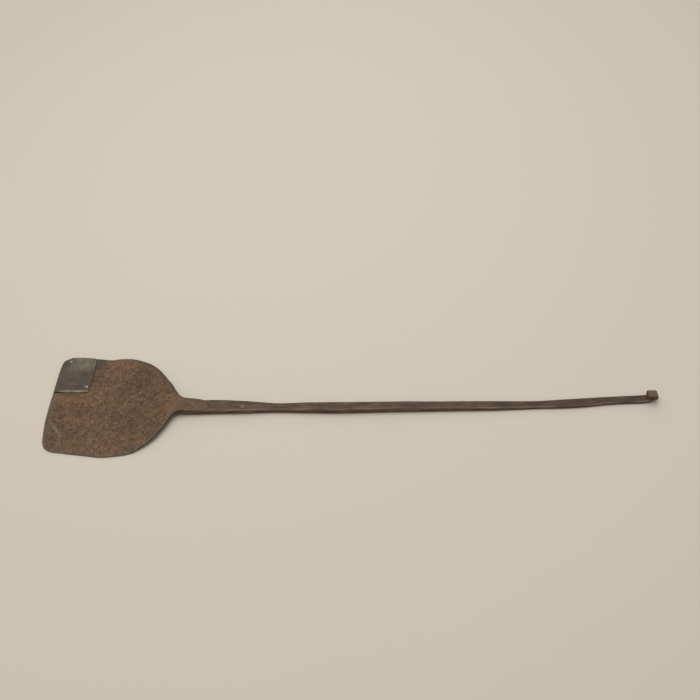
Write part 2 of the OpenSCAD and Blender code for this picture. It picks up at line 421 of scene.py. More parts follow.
def blade_bottom(x, y):
    h = 0.05 + 0.05 * rough(x / 22, y / 22, 81, 3) + 0.03 * rough(x / 3.2, y / 3.2, 85, 2)
    h = h - pits(x, y, 3.4, 0.12, 0.4, 87)
    return under(x) + np.maximum(h, 0.0)


def rim_line():
    line = even(ring([(FRONT + s, y - AXIS) for s, y in OUTLINE], 12), 0.62)
    if np.sum(line[:, 0] * np.roll(line[:, 1], -1) - line[:, 1] * np.roll(line[:, 0], -1)) < 0:
        line = line[::-1]
    n = normals_of(line)
    # a hand-cut edge: small bites and long waves
    along = np.arange(len(line)) * 0.62
    ragged = 0.11 * wave(along / 9.0, 0.5, 91) + 0.07 * wave(along / 3.1, 1.5, 92) + 0.05 * wave(along / 1.5, 2.5, 93)
    ragged *= 1 - 0.6 * smooth(126, 140, line[:, 0] - FRONT)
    return line + n * ragged[:, None]


def hole(at, r, n=40):
    a = np.arange(n) * 2 * math.pi / n
    return np.column_stack([at[0] + r * np.cos(a), at[1] + r * np.sin(a)])


def plate(rim, rings_top, rings_low, top, bottom, holes, step_top, step_low, edge_r, belly):
    """A closed sheet: rims of the given inward offsets above and below, a fine upper face and a lower one, and
    round holes of (place, radius above, radius below, depth of the countersink). Returns points, faces and the
    row of each point: 0 upper face, 1 edge, 2 lower face, 3 inside a hole."""
    n = normals_of(rim)
    count = len(rim)
    points, kinds, faces = [], [], []

    def add(xy, z, kind):
        start = sum(len(p) for p in points)
        points.append(np.column_stack([xy, z]))
        kinds.append(np.full(len(xy), kind))
        return start

    thick = top(rim[:, 0], rim[:, 1]) - bottom(rim[:, 0], rim[:, 1])
    r = np.minimum(edge_r, 0.46 * thick)

    def drop(d):
        k = np.clip(1 - d / r, 0, 1)
        return r * (1 - np.sqrt(1 - k * k))

    # upper face with its rims
    inner = rim - n * rings_top[-1]
    grid = hexgrid(rim.min(0), rim.max(0), step_top)
    grid = grid[inside(grid, inner)]
    grid = grid[away(grid, inner, 3) > step_top * 0.55]
    loops = [inner]
    for at, above, *_ in holes:
        loops.append(hole(at, above))
        grid = grid[np.hypot(*(grid - at).T) > above + step_top * 0.5]
    flat, tri = triangulate(loops, grid)
    up = add(flat, top(flat[:, 0], flat[:, 1]), 0)
    faces.append(tri + up)
    last = up
    for d in rings_top[-2::-1]:
        xy = rim - n * d
        row = add(xy, top(xy[:, 0], xy[:, 1]) - drop(d), 1)
        faces.append(strip(row, last, count))
        last = row
    # the wall
    zt = top(rim[:, 0], rim[:, 1]) - drop(0)
    zb = bottom(rim[:, 0], rim[:, 1]) + np.minimum(drop(0) * 0.6, 0.3 * thick)
    for share in (0.3, 0.65):
        out = belly * math.sin(math.pi * share)
        row = add(rim + n * out, zt + (zb - zt) * share, 1)
        faces.append(strip(row, last, count))
        last = row
    for d in rings_low[:-1]:
        xy = rim - n * d
        row = add(xy, bottom(xy[:, 0], xy[:, 1]) + np.minimum(drop(d) * 0.6, 0.3 * thick), 1)
        faces.append(strip(row, last, count))
        last = row
    # lower face
    inner = rim - n * rings_low[-1]
    grid = hexgrid(rim.min(0), rim.max(0), step_low)
    grid = grid[inside(grid, inner)]
    grid = grid[away(grid, inner, 3) > step_low * 0.5]
    loops = [inner]
    for at, _, below, _ in holes:
        loops.append(hole(at, below))
        grid = grid[np.hypot(*(grid - at).T) > below + step_low * 0.5]
    flat, tri = triangulate(loops, grid)
    low = add(flat, bottom(flat[:, 0], flat[:, 1]), 2)
    faces.append(tri[:, ::-1] + low)
    faces.append(strip(low, last, count))
    # holes
    at_up, at_low = up + count, low + count
    for at, above, below, sink in holes:
        m = 40
        last = at_up
        if sink:
            h = hole(at, above)
            row = add(h, np.full(m, bottom(np.array([at[0]]), np.array([at[1]]))[0] + sink), 3)
            faces.append(strip(last, row, m))
            last = row
        faces.append(strip(last, at_low, m))
        at_up, at_low = at_up + m, at_low + m
    lists = []
    for f in faces:
        lists += f.tolist()
    return np.vstack(points), lists, np.concatenate(kinds)


def lines(p, places, width, soft=0.5):
    """1 within half the width of a given line, fading over soft."""
    d = away(p, even(path(places, 8), 0.4, False), width + soft + 2)
    return 1 - smooth(width / 2, width / 2 + soft, d)


def blot(p, at, size, turn=0.0, ragged=0.35, seed=200):
    """A soft spot with a ragged outline: 1 in its middle."""
    x, y = p[:, 0] - at[0], p[:, 1] - at[1]
    c, s = math.cos(turn), math.sin(turn)
    u, v = (c * x + s * y) / size[0], (c * y - s * x) / size[1]
    r = np.hypot(u, v) + ragged * rough(p[:, 0] / 4.5, p[:, 1] / 4.5, seed, 3)
    return 1 - smooth(0.55, 1.15, r)


def build_blade():
    rim = rim_line()
    holes = [(np.array(r), RIVET_R, RIVET_R + 0.9, SINK) for r in RIVETS]
    points, faces, kind = plate(
        rim, [0, 0.1, 0.26, 0.5, 0.9, 1.5], [0, 0.12, 0.32, 0.8], blade_top, blade_bottom,
        holes, 0.62, 1.1, 0.62, 0.05,
    )  # fmt: skip
    p = points[:, :2]
    s = p[:, 0] - FRONT
    edge = away(p, rim, 30)
    top = (kind < 2).astype(float)
    grey = np.zeros(len(p))
    wob = 3.0 * rough(p[:, 0] / 13, p[:, 1] / 13, 210, 3)
    # greyer margins along the front, beside the patch and round the far rim
    grey = np.maximum(grey, (1 - smooth(3, 13, s + wob)) * smooth(24, 12, p[:, 1]))
    grey = np.maximum(grey, 0.8 * (1 - smooth(1.5, 7, edge + 0.5 * wob)))
    # the first blot, just right of the patch's far corner, is painted shade beside the patch's raised right edge; the
    # other blots are darker spots
    dark = blot(p, (-265.5, 54.5), (6.5, 9.5), 0, 0.3, 221)
    dark = np.maximum(dark, 0.85 * blot(p, (-253.2, -11.6), (3.0, 6.0), -0.5, 0.25, 222))
    dark = np.maximum(dark, 0.6 * blot(p, (-246, 47), (3.5, 4.5), 0, 0.3, 223))
    dark = np.maximum(dark, 0.5 * blot(p, (-288.5, -24.5), (4.5, 2.4), 0.1, 0.25, 224))
    dark = np.maximum(dark, 0.45 * blot(p, (-262, -49), (11, 2.6), -0.15, 0.25, 225))
    dark *= top
    pale = lines(p, [(-297.5, -25), (-294.5, -29.5), (-290.2, -34.6), (-288.8, -36.5)], 1.1, 1.7) * (
        0.7 + 0.7 * wave(p[:, 0] / 1.8, p[:, 1] / 1.8, 226)
    )
    pale *= top
    specks = np.zeros(len(p))
    for x, y, r in ((-259.7, 9.6, 1.1), (-270.1, 0.1, 0.9), (-263.6, -0.6, 0.7), (-256.0, 4.4, 0.6), (-240.2, 33.0, 0.9), (-247.9, -54.2, 0.8)):
        specks = np.maximum(specks, np.exp(-(((p[:, 0] - x) ** 2 + (p[:, 1] - y) ** 2) / (0.7 * r) ** 2)))
    specks *= top
    tongue = smooth(124, 137, s)
    relief = np.where(kind == 0, blade_relief(p[:, 0], p[:, 1]), 0)
    low = points[:, 2] - np.where(kind < 2, over(p[:, 0]), under(p[:, 0]))
    return make(
        "blade", points, faces, "blade_plate",
        {
            "edge": 1 - smooth(0, 2.2, edge), "grey": grey * top, "dark": dark, "pale": np.clip(pale, 0, 1),
            "specks": specks, "tongue": tongue, "relief": np.clip(0.5 + relief * 1.6, 0, 1),
            # seam: a painted highlight along the seam's step
            "seam": np.exp(-((seam_side(p[:, 0], p[:, 1]) / 0.7) ** 2)) * tongue * top,
            # rim: painted shade along the heel's far rim
            # wall: painted shade, which darkens the heel's edge wall
            "wall": (kind == 1) * (edge < 0.12) * smooth(96, 122, s), "rim": (1 - smooth(1.6, 4.2, edge + 0.3 * wob)) * smooth(70, 90, s) * (p[:, 1] > 0) * (1 - tongue) * top,
            # painted highlight along the tongue's near edge
            "tongue_arris_highlight": (1 - smooth(0.5, 1.3, edge)) * tongue * (p[:, 1] < -5.5) * smooth(-172, -166, p[:, 0]) * (kind < 2),
        },
    )  # fmt: skip


# ---------------------------------------------------------------------------
# handle: stations along the bar and round the roll
# ---------------------------------------------------------------------------
def build_bar():
    sides = path(
        [(FRONT + 119, 0.6, 10.0), (FRONT + 126, 0.7, 12.8), (FRONT + 134, 0.9, 14.4),
         (FRONT + 142, 0.8, 14.8), (FRONT + 152, 0.4, 14.0)]
        + [(TANG_END + f * RUN, m, w) for f, m, w in PLAN]
        + [(CURL_X + 6, END_BEND, STRIP_W), (CURL_X + 12, END_BEND, STRIP_W), (CURL_X + 20, END_BEND, STRIP_W)],
        10,
    )  # fmt: skip

    def lift(x):
        return NECK_LIFT * np.maximum(0, (CURL_X - x) / (CURL_X - (FRONT + 138)))

    top_line = path(
        [tuple(LAP[-1])]
        + [(TANG_END + f * RUN, lift(TANG_END + f * RUN) + t) for f, t in BAR_THICK]
        + [(CURL_X, 3.6)],
        10,
    )
    s0, s1, s2 = FRONT + 120.2, FRONT + 129, FRONT + 138

    def top_z(x):
        past = np.interp(x, top_line[:, 0], top_line[:, 1]) + 0.22 * np.exp(-np.abs(x - TANG_END) / 7)
        return np.where(x < TANG_END, under(x) - 0.02, past)

    def low_z(x):
        z = lift(x)
        z = np.where(x < s2, NECK_LIFT + (s2 - x) / (s2 - s1) * (6.2 * 0.45 - NECK_LIFT), z)
        return np.where(x < s1, 6.2 * 0.45 + (s1 - x) / (s1 - (FRONT + 119.5)) * (6.2 * 0.25), z)

    x = np.arange(s0, CURL_X, 0.6)
    low = np.column_stack([x, low_z(x)])
    top = np.column_stack([x, top_z(x)])
    # round the roll: outer and inner lines by turns about the eye's middle
    arc = lambda c, r, a, b, n: np.asarray(c) + r * np.column_stack(
        [np.cos(np.linspace(a, b, n)), np.sin(np.linspace(a, b, n))]
    )
    rad = math.radians
    outer = np.vstack(
        [
            arc((0, SWEEP_R), SWEEP_R, -math.pi / 2, SWEEP_A - math.pi / 2, 60),
            arc(TURN_C, TURN_R, SWEEP_A - rad(78), math.pi / 2, 40),
            arc((5.5, 9.85), 1.7, math.pi / 2, math.radians(172), 20),
            [[4.15, 8.0], [4.6, TIP_Z]],
        ]
    )
    outer = even(outer, 0.15, False)
    turn = np.unwrap(np.arctan2(outer[:, 1] - EYE_C[1], outer[:, 0] - EYE_C[0]))
    far = np.hypot(*(outer - EYE_C).T)
    first = turn[0] + 2 * math.pi if turn[0] < 0 else turn[0]
    turn = turn + (first - turn[0])
    inner_a = rad(239)
    n0, n1 = 14, 120
    t = np.linspace(0, 1, n0, endpoint=False)[1:]
    start_outer = np.interp(inner_a, turn, far) * np.array([math.cos(inner_a), math.sin(inner_a)]) + EYE_C
    xo = start_outer[0] * t
    lead_low = np.column_stack([xo, SWEEP_R - np.sqrt(SWEEP_R**2 - xo**2)])
    bed = path([(0, 3.6), (3, 3.85), (5.6, 4.35), (EYE_C[0] + EYE_R * math.cos(inner_a), EYE_C[1] + EYE_R * math.sin(inner_a))], 8)
    bed = even(bed, 0.2, False)
    k = t * (len(bed) - 1)
    lead_top = np.column_stack([np.interp(k, np.arange(len(bed)), bed[:, i]) for i in (0, 1)])
    u = np.linspace(0, 1, n1)
    ia = inner_a + u * (rad(221.8 + 360) - inner_a)
    oa = inner_a + u * (turn[-1] - inner_a)
    roll_in = EYE_C + EYE_R * np.column_stack([np.cos(ia), np.sin(ia)])
    ro = np.interp(oa, turn, far)
    roll_out = EYE_C + ro[:, None] * np.column_stack([np.cos(oa), np.sin(oa)])
    shift = np.array([CURL_X, 0])
    low = np.vstack([low, [shift], lead_low + shift, roll_out + shift])
    top = np.vstack([top, [shift + [0, 3.6]], lead_top + shift, roll_in + shift])
    mid_x = np.where(low[:, 0] < CURL_X, low[:, 0], (low[:, 0] + top[:, 0]) / 2)
    on_roll = np.arange(len(low)) > len(x)
    y = np.interp(mid_x, sides[:, 0], sides[:, 1]) - AXIS
    w = np.interp(mid_x, sides[:, 0], sides[:, 2])
    last_roll = np.arange(len(low)) >= len(x) + n0
    y[last_roll], w[last_roll] = END_BEND - AXIS, STRIP_W
    centre = (low + top) / 2
    along = np.r_[0, np.cumsum(np.hypot(*np.diff(centre, axis=0).T))]
    length = along[-1]

    # one section: across from -1 to 1, up from 0 to 1, going round from the near lower corner
    def section(width, height, near_r, far_r, low_r):
        h, v = width / 2, height
        near_r, far_r, low_r = (min(r, 0.48 * v, 0.45 * width) for r in (near_r, far_r, low_r))

        def corner(cx, cy, r, a, n):
            q = np.radians(np.linspace(a, a + 90, n))
            return np.column_stack([cx + r * np.cos(q), cy + r * np.sin(q)])

        def side(a, b, n):
            q = np.linspace(0, 1, n + 2)[1:-1, None]
            return a + (b - a) * q

        c1 = corner(-h + low_r, low_r, low_r, 180, 5)  # near lower
        c2 = corner(h - low_r, low_r, low_r, 270, 5)  # far lower
        c3 = corner(h - far_r, v - far_r, far_r, 0, 7)  # far upper
        c4 = corner(-h + near_r, v - near_r, near_r, 90, 7)  # near upper
        rows = [c1, side(c1[-1], c2[0], 7), c2, side(c2[-1], c3[0], 5), c3, side(c3[-1], c4[0], 13), c4, side(c4[-1], c1[0], 5)]
        kinds = [2, 2, 2, 3, 4, 0, 5, 1]  # low, low, low, far side, far arris, top, near arris, near side
        return np.vstack(rows), np.concatenate([np.full(len(r), k) for r, k in zip(rows, kinds)])

    points, kind, flow = [], None, []
    for i in range(len(low)):
        b, tt = low[i], top[i]
        axis = tt - b
        height = np.hypot(*axis)
        axis = axis / height
        X = b[0]
        under_lap = X < TANG_END - 0.5
        near_r = 0.35 if under_lap else 1.0
        far_r = 0.35 if under_lap else 0.5
        if on_roll[i]:
            k = min(1.0, (along[i] - along[len(x)]) / 8)
            near_r, far_r = near_r + (0.45 - near_r) * k, far_r + (0.35 - far_r) * k
        extra = 0.0 if under_lap else 0.12
        q, kind = section(w[i] + extra, height, near_r, far_r, 0.55)
        m = len(q)
        t2 = np.roll(q, -1, 0) - np.roll(q, 1, 0)
        t2 /= np.maximum(np.hypot(*t2.T), 1e-9)[:, None]
        out = np.column_stack([t2[:, 1], -t2[:, 0]])
        girth = np.r_[0, np.cumsum(np.hypot(*np.diff(q, axis=0).T))]
        L = along[i]
        amp = 0.35 if on_roll[i] else 1.0
        g = q[:, 0] * 1.0 + q[:, 1] * 0.6 + 20 * (kind == 1) + 40 * (kind == 3) + 60 * (kind == 2)
        r = 0.075 * amp * rough(L / 24, g / 1.7, 301, 3)
        r = r + 0.10 * amp * wave(L / 17, g / 6.0, 311)
        r = r + 0.03 * rough(L / 2.4, g / 2.0, 321, 2)
        d, name = cells(np.full(len(g), L / 6.5), g / 4.0, 331)
        r = r - 0.05 * amp * (1 - smooth(0, 0.7, d)) * name
        if under_lap:
            r = np.where((kind == 1) | (kind == 3), r * 0.6, 0)
        r = np.where(kind == 2, np.minimum(r, 0) * 0.6, r)
        if on_roll[i]:
            r = np.where((kind == 0), r * 0.4, r)
        q = q + out * r[:, None]
        xy = b + q[:, 1:2] * axis
        points.append(np.column_stack([xy[:, 0], y[i] + q[:, 0], np.maximum(xy[:, 1], 0.0)]))
        flow.append(np.column_stack([np.full(m, L), g, np.full(m, 0.0)]))
    count = len(points)
    faces = []
    for i in range(count - 1):
        faces += strip(i * m, (i + 1) * m, m)[:, ::-1].tolist()
    # rounded ends
    def cap(index, direction, step, base_points, reverse):
        centre3 = base_points[index].mean(0)
        rows = [index * m]
        extra_p = []
        for share, out in ((0.86, 0.30), (0.55, 0.48), (0.25, 0.55)):
            q = centre3 + (base_points[index] - centre3) * share + direction * step * out
            extra_p.append(q)
        return extra_p, centre3 + direction * step * 0.56

    allp = list(points)
    kinds = [kind] * count
    flows = list(flow)
    for index, step in ((0, 0.5), (count - 1, 0.9)):
        if index == 0:
            direction = np.array([-1.0, 0, 0.0])
        else:
            direction = np.array([0.0, 0, -1.0])
        extra_p, tip = cap(index, direction, step, points, False)
        last = index * m
        for q in extra_p:
            row = sum(len(a) for a in allp)
            allp.append(q)
            kinds.append(kind)
            flows.append(flow[index])
            f = strip(last, row, m)
            faces += (f if index == 0 else f[:, ::-1]).tolist()
            last = row
        end = sum(len(a) for a in allp)
        allp.append(tip[None])
        kinds.append(np.array([3]))
        flows.append(flow[index][:1])
        for k in range(m):
            a, b = last + k, last + (k + 1) % m
            faces.append([a, b, end] if index == 0 else [b, a, end])
    faces = [f[::-1] for f in faces]
    P = np.vstack(allp)
    K = np.concatenate(kinds)
    FL = np.vstack(flows)
    X = P[:, 0]
    # the near arris is painted paler: partly rubbed bare iron, partly a painted highlight along its rounded edge
    near_arris = (K == 5) * 1.0
    spot = np.zeros(len(P))
    # a rubbed, paler stretch along the near arris, and one small nick
    rub = bump(X, -76, 16) * smooth(-0.6, 0.2, -(P[:, 1] + 8.6)) * (K == 0)
    spot = np.maximum(np.exp(-(((X + 110.3) / 2.2) ** 2 + ((P[:, 1] + 6.2) / 1.2) ** 2)) * (K == 0), 0)
    return make(
        "handle", P, faces, "handle_bar",
        {
            # side: the near side face, which the material paints with warm reflected light
            "flow": FL, "arris": near_arris, "side": (K == 1) * 1.0, "farside": ((K == 3) | (K == 4)) * 1.0,
            "topface": (K == 0) * 1.0, "rub": rub, "spot": spot,
            "bore": ((X > CURL_X + 5) & ((K == 0) | (K == 4) | (K == 5)) & (np.hypot(X - CURL_X - EYE_C[0], P[:, 2] - EYE_C[1]) < 3.4)) * 1.0,
        },
    )  # fmt: skip


# ---------------------------------------------------------------------------
# patch
# ---------------------------------------------------------------------------
PATCH_PLAN = [
    (PATCH_FRONT - 1, PATCH_NEAR), (PATCH_FRONT + PATCH_L - 2, PATCH_NEAR),
    (PATCH_FRONT + PATCH_L - 1.3, PATCH_NEAR + 8), (PATCH_FRONT + PATCH_L - 0.3, PATCH_NEAR + 18),
    (PATCH_FRONT + PATCH_L, PATCH_NEAR + 28), (PATCH_FRONT + PATCH_L - 0.4, PATCH_NEAR + 38),
    (PATCH_FRONT + PATCH_L - 1.2, PATCH_FAR - 1.2), (PATCH_FRONT + 20, PATCH_FAR),
    (PATCH_FRONT + 9, PATCH_FAR - 0.2), (PATCH_FRONT + 2.2, PATCH_FAR - 4.2),
    (PATCH_FRONT + 0.2, PATCH_FAR - 9), (PATCH_FRONT - 0.8, PATCH_NEAR + 22),
    (PATCH_FRONT - 1.2, PATCH_NEAR + 10),
]  # fmt: skip


def patch_lift(x, y):
    """How far the sheet stands off the blade: its near edge springs up, its other edges a little."""
    v = y - PATCH_NEAR
    lift = PATCH_LIFT * (0.35 * smooth(7, 3, v) + 0.65 * smooth(4, 0, v))
    lift = lift * (1 + 0.25 * wave(x / 9, 0.3, 401)) * (1 - 0.6 * smooth(5, 14, x - PATCH_FRONT))
    right = x - (PATCH_FRONT + PATCH_L)
    lift = lift + 0.28 * smooth(-5, 0, right) * smooth(12, 26, v) * smooth(45, 38, v)
    for rx, ry in RIVETS:
        lift = lift * (1 - 0.9 * np.exp(-(((x - rx) ** 2 + (y - ry) ** 2) / 9)))
    return np.maximum(lift, 0)


def patch_relief(x, y):
    h = 0.10 * rough(x / 14, y / 14, 411, 3) + 0.02 * rough(x / 2.6, y / 2.6, 415, 2)
    h += pits(x, y, 3.3, 0.07, 0.25, 417)
    # a shallow crease along the sheet
    v = y - (26.4 + 0.4 * wave(x / 7, 0.7, 419))
    h += 0.14 * np.exp(-((v / 0.8) ** 2)) * bump(x, -289, 9)
    for rx, ry in RIVETS:
        d = np.hypot(x - rx, y - ry)
        h = h * smooth(2.0, 5.0, d)
    return h


def build_patch():
    line = []
    corners = np.array(PATCH_PLAN)
    # corners are cut from sheet, so they keep a small radius
    for i in range(len(corners)):
        a, b, c = corners[i - 1], corners[i], corners[(i + 1) % len(corners)]
        u, v = a - b, c - b
        la, lc = np.hypot(*u), np.hypot(*v)
        cosine = float(np.dot(u, v) / (la * lc))
        r = min(1.2 if cosine > -0.8 else 1.8, 0.45 * la, 0.45 * lc)
        p, q = b + u / la * r, b + v / lc * r
        t = np.linspace(0, 1, 9)[:, None]
        line.append((1 - t) ** 2 * p + 2 * (1 - t) * t * b + t * t * q)
    rim = even(np.vstack(line), 0.5)
    if np.sum(rim[:, 0] * np.roll(rim[:, 1], -1) - rim[:, 1] * np.roll(rim[:, 0], -1)) < 0:
        rim = rim[::-1]
    n = normals_of(rim)
    k = np.arange(len(rim)) * 0.5
    rim = rim + n * (0.10 * wave(k / 6.0, 0.5, 421) + 0.06 * wave(k / 2.0, 1.5, 422))[:, None]

    def top(x, y):
        return PLATE_T + PATCH_T + patch_lift(x, y) + patch_relief(x, y)

    def bottom(x, y):
        return PLATE_T + 0.02 + patch_lift(x, y)

    holes = [(np.array(r), RIVET_R, RIVET_R, 0) for r in RIVETS]
    points, faces, kind = plate(
        rim, [0, 0.08, 0.2, 0.36, 0.56], [0, 0.1, 0.3], top, bottom, holes, 0.55, 1.0, 0.42, 0.04
    )
    p = points[:, :2]
    v = p[:, 1] - PATCH_NEAR
    edge = away(p, rim, 20)
    lip = smooth(3.3, 2.1, v + 0.5 * wave(p[:, 0] / 3, p[:, 1] / 3, 434)) * (kind < 2) * smooth(PATCH_FRONT + 3, PATCH_FRONT + 9, p[:, 0] + 2 * wave(p[:, 0] / 4, 0.2, 431))
    lip = lip * (0.75 + 0.5 * wave(p[:, 0] / 5, 3.3, 432))
    wob = 3.5 * rough(p[:, 0] / 10, p[:, 1] / 10, 433, 3)
    pale = smooth(25, 32, v + wob) * smooth(PATCH_FRONT + 2, PATCH_FRONT + 14, p[:, 0] + wob)
    brown = blot(p, (-293, 40), (10, 8), 0.2, 0.4, 435)
    crease = np.exp(-(((p[:, 1] - 26.4 - 0.4 * wave(p[:, 0] / 7, 0.7, 419)) / 0.8) ** 2)) * bump(p[:, 0], -289, 9)
    return make(
        "patch", points, faces, "corner_patch",
        {
            "edge": 1 - smooth(0, 1.2, edge), "lip": np.clip(lip, 0, 1), "pale": pale * (kind < 2), "brown": brown,
            "crease": crease * (kind < 2), "low": smooth(30, 14, v + 0.5 * wob), "wall": (kind == 1) * 1.0,
        },
    )  # fmt: skip


# ---------------------------------------------------------------------------
# rivets
# ---------------------------------------------------------------------------
def build_rivets():
    points, faces, glint_and_dark = [], [], []
    start = 0
    for number, (cx, cy) in enumerate(RIVETS):
        top = PLATE_T + PATCH_T + 0.02
        h = (0.6, 0.75, 0.45)[number]
        rim = (2.2, 2.5, 2.3)[number]
        # rub > 0 puts a painted glint, a small bright spot, on the head; rub < 0 makes the head dark
        sx, sy, rub = ((0.1, 0.0, 0.6), (1.7, -0.3, 0.85), (0.0, 0.0, -1.0))[number]
        profile = [(RIVET_R + 0.86, 0.03), (RIVET_R + 0.62, 0.01), (RIVET_R - 0.6, 0.02)][::-1]
        profile += [(RIVET_R + 0.88, 0.12), (RIVET_R - 0.02, SINK), (RIVET_R - 0.02, top - 0.05), (RIVET_R + 0.3, top - 0.02), (rim - 0.12, top), (rim, top + 0.14)]
        for a in np.linspace(12, 86, 9):
            q = math.radians(a)
            profile.append((rim * math.cos(q) ** 0.85, top + 0.14 + (h - 0.14) * math.sin(q)))
        n = 56
        a = np.arange(n) * 2 * math.pi / n
        for k, (r, z) in enumerate(profile):
            head = z > top - 0.04
            out = 1 + (0.07 * wave(a * 1.3, number * 7.1, 501) + 0.03 * wave(a * 3.1, number * 3.3, 502)) * head
            x, y = cx + r * out * np.cos(a), cy + r * out * np.sin(a)
            dz = 0.06 * wave(x / 1.5, y / 1.5, 503 + number) * (z > top + 0.2)
            points.append(np.column_stack([x, y, np.full(n, z) + dz]))
            glint_and_dark.append(0.5 + 0.5 * rub * np.exp(-(((x - cx - sx) ** 2 + (y - cy - sy) ** 2) / (0.95 if rub > 0 else 2.6) ** 2)) * (z > top))
            if k:
                faces += strip(start + (k - 1) * n, start + k * n, n).tolist()
        rows = len(profile)
        low, high = start + rows * n, start + rows * n + 1
        zt = profile[-1][1] + 0.02
        points.append(np.array([[cx, cy, 0.02], [cx, cy, zt]]))
        glint_and_dark.append(np.array([0.5, 0.5 + 0.5 * rub * math.exp(-(sx**2 + sy**2) / 0.95**2)]))
        for k in range(n):
            j = (k + 1) % n
            faces.append([start + j, start + k, low])
            faces.append([start + (rows - 1) * n + k, start + (rows - 1) * n + j, high])
        start += rows * n + 2
    return make("rivets", np.vstack(points), faces, "patch_rivets", {"glint_and_dark": np.concatenate(glint_and_dark)})


# ---------------------------------------------------------------------------
# materials
# ---------------------------------------------------------------------------
def colour(r, g, b):
    """A colour given as the eye sees it, 0 to 255, in Blender's linear light."""
    f = lambda c: c / 12.92 if c <= 0.04045 else ((c + 0.055) / 1.055) ** 2.4
    return (f(r / 255), f(g / 255), f(b / 255), 1.0)


class Tree:
    def __init__(self, name):
        self.mat = bpy.data.materials.new(name)
        self.mat.use_nodes = True
        self.nodes, self.links = self.mat.node_tree.nodes, self.mat.node_tree.links
        self.nodes.clear()
        self.out = self.nodes.new("ShaderNodeOutputMaterial")
        self.shader = self.nodes.new("ShaderNodeBsdfPrincipled")
        self.links.new(self.shader.outputs[0], self.out.inputs[0])

    def put(self, socket, value):
        if isinstance(value, bpy.types.NodeSocket):
            self.links.new(value, socket)
        else:
            socket.default_value = value

    def where(self, stretch=(1, 1, 1)):
        at = self.nodes.new("ShaderNodeTexCoord").outputs["Object"]
        return self.scaled(at, stretch)

    def scaled(self, at, stretch):
        if tuple(stretch) == (1, 1, 1):
            return at
        m = self.nodes.new("ShaderNodeMapping")
        self.links.new(at, m.inputs["Vector"])
        m.inputs["Scale"].default_value = stretch
        return m.outputs[0]

    def attribute(self, name, vector=False):
        a = self.nodes.new("ShaderNodeAttribute")
        a.attribute_name = name
        return a.outputs["Vector" if vector else "Fac"]

    def noise(self, at, size, detail=3, roughness=0.55, distortion=0.0):
        n = self.nodes.new("ShaderNodeTexNoise")
        self.links.new(at, n.inputs["Vector"])
        n.inputs["Scale"].default_value = 1.0 / size
        n.inputs["Detail"].default_value = detail
        n.inputs["Roughness"].default_value = roughness
        n.inputs["Distortion"].default_value = distortion
        return n.outputs["Fac"]

    def cell(self, at, size, feature="F1"):
        n = self.nodes.new("ShaderNodeTexVoronoi")
        n.feature = feature
        self.links.new(at, n.inputs["Vector"])
        n.inputs["Scale"].default_value = 1.0 / size
        return n.outputs["Distance"]

    def maths(self, how, a, b=0.0, c=None, clamp=False):
        n = self.nodes.new("ShaderNodeMath")
        n.operation = how
        n.use_clamp = clamp
        self.put(n.inputs[0], a)
        self.put(n.inputs[1], b)
        if c is not None:
            self.put(n.inputs[2], c)
        return n.outputs[0]

    def span(self, value, lo, hi, out_lo=0.0, out_hi=1.0, soft=True):
        n = self.nodes.new("ShaderNodeMapRange")
        n.interpolation_type = "SMOOTHSTEP" if soft else "LINEAR"
        self.put(n.inputs["Value"], value)
        for key, v in (("From Min", lo), ("From Max", hi), ("To Min", out_lo), ("To Max", out_hi)):
            n.inputs[key].default_value = v
        return n.outputs[0]

    def ramp(self, value, stops):
        n = self.nodes.new("ShaderNodeValToRGB")
        el = n.color_ramp.elements
        while len(el) > 1:
            el.remove(el[-1])
        el[0].position, el[0].color = stops[0]
        for pos, col in stops[1:]:
            e = el.new(pos)
            e.color = col
        self.put(n.inputs[0], value)
        return n.outputs[0]

    def mix(self, share, a, b, how="MIX"):
        n = self.nodes.new("ShaderNodeMix")
        n.data_type = "RGBA"
        n.blend_type = how
        self.put(n.inputs["Factor"], share)
        self.put(n.inputs[6], a)
        self.put(n.inputs[7], b)
        return n.outputs[2]

    def relief(self, *layers):
        """Bump from (height, metres) layers."""
        normal = None
        for height, depth in layers:
            n = self.nodes.new("ShaderNodeBump")
            n.inputs["Strength"].default_value = 1.0
            n.inputs["Distance"].default_value = depth
            self.put(n.inputs["Height"], height)
            if normal is not None:
                self.links.new(normal, n.inputs["Normal"])
            normal = n.outputs[0]
        self.links.new(normal, self.shader.inputs["Normal"])

    def finish(self, base, roughness, specular=0.4):
        self.put(self.shader.inputs["Base Color"], base)
        self.put(self.shader.inputs["Roughness"], roughness)
        self.shader.inputs["Specular IOR Level"].default_value = specular
        return self.mat


